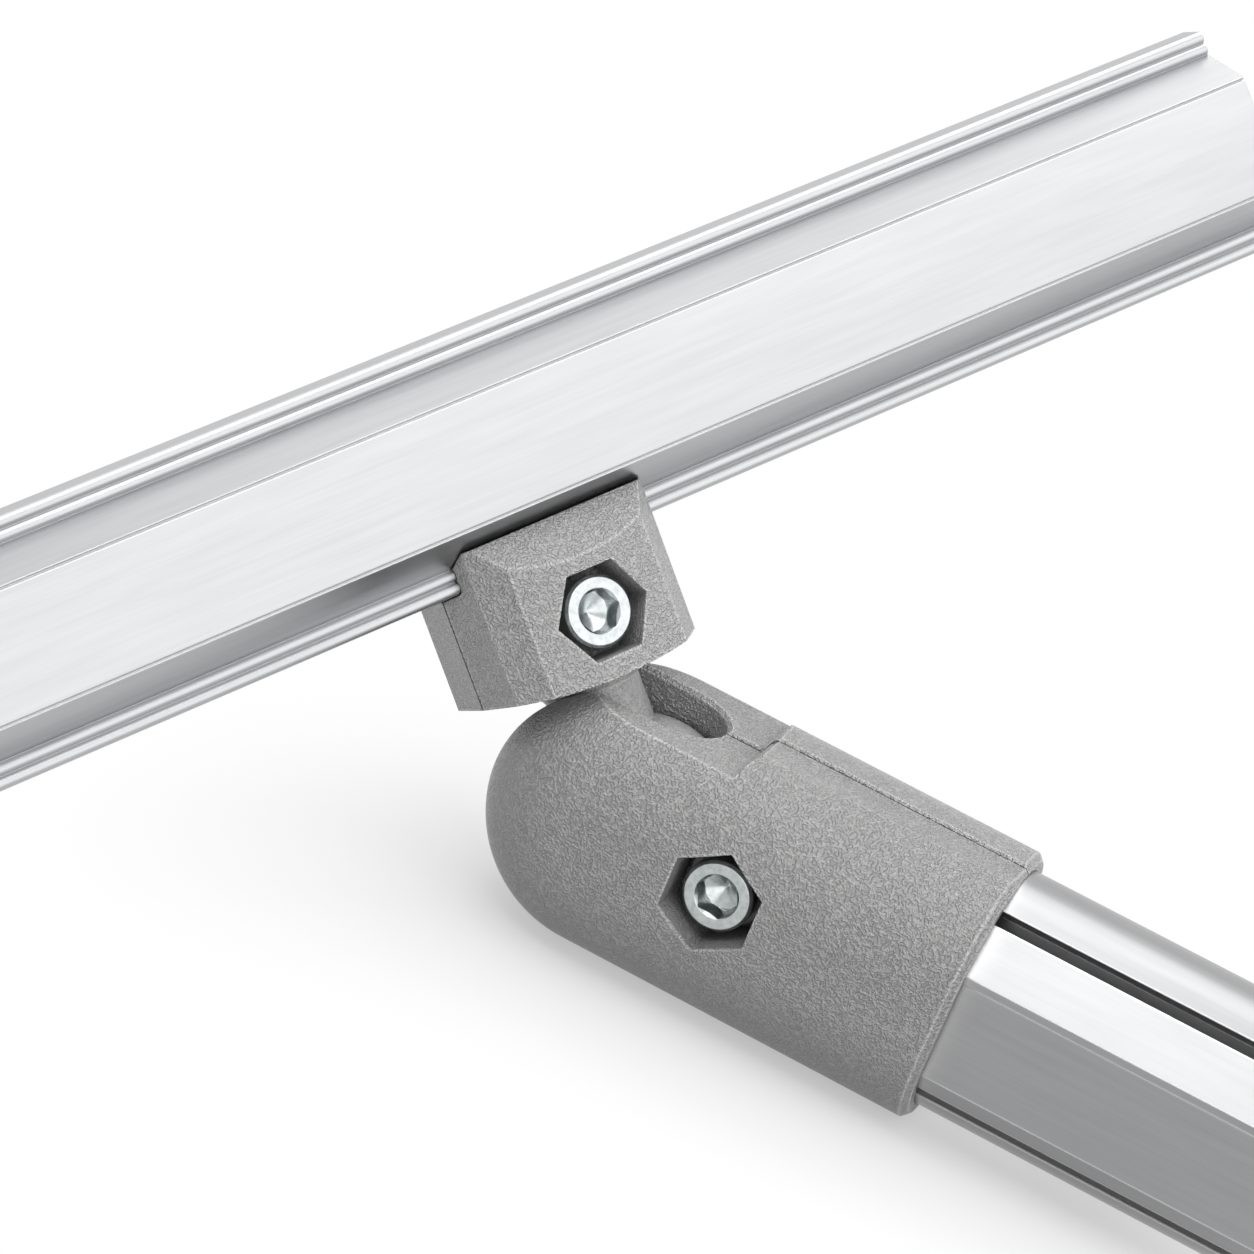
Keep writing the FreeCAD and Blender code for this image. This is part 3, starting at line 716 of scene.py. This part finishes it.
@dataclass
class Studio:
    """Pale floor, soft light and the camera.

    Attributes:
        floor_span: Side of the square floor in metres.
        floor_shade: How much of the lamps' light the floor shows near the joint, where its shadow falls.
        floor_glow: How bright the floor is there with no light on it.
        floor_bounce: Shade of the floor for the rays that light the object.
        shadow_centre: Middle of the shaded part of the floor, in metres.
        shadow_reach: Distances from it where the floor starts to pale and where it is plain white.
        world_shade: Light of the surroundings, square to their bright side.
        world_slope: How much more they give on the bright side, and less on the other.
        world_side: Direction of the bright side.
        camera_place: Place of the camera in metres.
        camera_right: Direction to the right in the picture.
        camera_up: Direction roughly upwards in the picture.
        camera_lens: Focal length in millimetres.
        camera_sensor: Width of the sensor in millimetres.
        camera_clip: Nearest and furthest distance seen, in metres.
        lamps: The soft lamps.
    """

    floor_span: float = 6.0
    floor_shade: float = 0.5
    floor_glow: float = 0.45
    floor_bounce: float = 0.45
    shadow_centre: Pair = (-0.06, -0.01)
    shadow_reach: Pair = (0.03, 0.095)
    world_shade: float = 0.22
    world_slope: float = 0.22
    world_side: Direction = (0.8, -0.1, 0.6)
    camera_place: Place = (0.01153, -0.52224, 0.23110)
    camera_right: Direction = (0.87163, 0.33387, 0.35887)
    camera_up: Direction = (-0.44893, 0.24985, 0.85793)
    camera_lens: float = 142.70
    camera_sensor: float = 36.0
    camera_clip: Pair = (0.01, 20.0)
    lamps: List[Softbox] = field(default_factory=lambda: [
        Softbox("overhead", (0.0, 0.3, 1.0), 1.0, (2.0, 1.6), 5.5),
        Softbox("core", (-0.12, -0.03, 1.0), 0.95, (1.3, 0.4), 2.6),
        Softbox("back", (0.0, 0.6, 0.77), 1.1, (0.8, 0.5), 1.8),
        Softbox("front", (-0.25, -0.62, 0.98), 1.1, (1.2, 0.2), 2.3),
        Softbox("right", (0.80, -0.28, 0.50), 1.0, (1.0, 1.0), 2.8),
        Softbox("low", (0.50, -1.00, 0.20), 1.1, (0.8, 0.8), 2.0),
    ])

    def shadow_fade(self, graph: NodeGraph, level: float) -> Socket:
        """Tells how far a place on the floor is from the joint's shadow.

        Args:
            graph: The floor's graph.
            level: Height of the floor in metres.

        Returns:
            A number from 0 round the joint to 1 where the floor is plain white.
        """
        span = graph.add("VectorMath", operation="DISTANCE")
        graph.feed(span.inputs[0], graph.place())
        graph.feed(span.inputs[1], (*self.shadow_centre, level))
        near, far = self.shadow_reach
        fading = graph.add("MapRange", interpolation_type="SMOOTHSTEP")
        graph.fill(fading, {"Value": span.outputs["Value"], "From Min": near, "From Max": far})
        return fading.outputs["Result"]

    def paper(self, level: float) -> bpy.types.Material:
        """Makes the floor's paper, which shows white except where the joint shades it.

        Args:
            level: Height of the floor in metres.

        Returns:
            The finished material.
        """
        graph = NodeGraph.material("floor_paper")
        white = graph.background_ray()
        fade = self.shadow_fade(graph, level)
        shown = graph.math("MULTIPLY", graph.inverse(fade), self.floor_shade)
        bounced = graph.math("MULTIPLY", graph.inverse(white), self.floor_bounce)
        diffuse = graph.add("BsdfDiffuse")
        graph.feed(diffuse.inputs["Color"], graph.math("ADD", graph.math("MULTIPLY", white, shown), bounced))
        glow = graph.add("Emission")
        shine = graph.between(fade, self.floor_glow, 1.0)
        graph.feed(glow.inputs["Strength"], graph.math("MULTIPLY", white, shine))
        both = graph.add("AddShader")
        graph.feed(both.inputs[0], diffuse.outputs["BSDF"])
        graph.feed(both.inputs[1], glow.outputs["Emission"])
        graph.end("OutputMaterial", both.outputs["Shader"])
        return graph.owner

    def floor(self) -> None:
        """Makes the floor under the lowest point of the joint."""
        half = self.floor_span / 2
        level = cad_low.z
        mesh = bpy.data.meshes.new("floor")
        corners = [(-half, -half, level), (half, -half, level), (half, half, level), (-half, half, level)]
        mesh.from_pydata(corners, [], [(0, 1, 2, 3)])
        mesh.materials.append(self.paper(level))
        plane = bpy.data.objects.new("floor", mesh)
        bpy.context.scene.collection.objects.link(plane)

    def world(self) -> None:
        """Makes the pale surroundings, which show white and light the object more softly."""
        world = bpy.data.worlds.new("studio")
        bpy.context.scene.world = world
        graph = NodeGraph.start(world)
        side = graph.add("VectorMath", operation="DOT_PRODUCT")
        graph.feed(side.inputs[0], graph.add("TexCoord").outputs["Generated"])
        graph.feed(side.inputs[1], Vector(self.world_side).normalized())
        soft = graph.between(side.outputs["Value"], self.world_shade, self.world_shade + self.world_slope)
        white = graph.background_ray()
        dimmed = graph.math("MULTIPLY", graph.inverse(white), soft)
        sky = graph.add("Background")
        graph.fill(sky, {"Color": WHITE, "Strength": graph.math("ADD", white, dimmed)})
        graph.end("OutputWorld", sky.outputs["Background"])

    def camera(self) -> None:
        """Puts the camera where the photograph was taken from."""
        data = bpy.data.cameras.new("camera")
        data.lens = self.camera_lens
        data.sensor_width = self.camera_sensor
        data.clip_start, data.clip_end = self.camera_clip
        camera = bpy.data.objects.new("camera", data)
        right = Vector(self.camera_right).normalized()
        back = right.cross(Vector(self.camera_up)).normalized()
        turn = Matrix((right, back.cross(right), back)).transposed().to_4x4()
        camera.matrix_world = Matrix.Translation(Vector(self.camera_place)) @ turn
        bpy.context.scene.collection.objects.link(camera)
        bpy.context.scene.camera = camera

    def build(self) -> None:
        """Makes the whole studio."""
        self.floor()
        self.world()
        self.camera()
        target = joint_place("ball_swing")
        for lamp in self.lamps:
            lamp.build(target)
        bpy.context.scene.view_settings.view_transform = "Standard"


def write_sizes() -> None:
    """Brings the view layer up to date."""
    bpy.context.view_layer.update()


def main() -> None:
    """Dresses every sub-assembly and sets up the studio."""
    logging.basicConfig(level=logging.INFO, format="%(name)s: %(message)s")
    for assembly in (Extrusions(), Housing(), BallStud(), JawBlock()):
        assembly.dress()
    Studio().build()
    write_sizes()


if __name__ == "__main__":
    main()
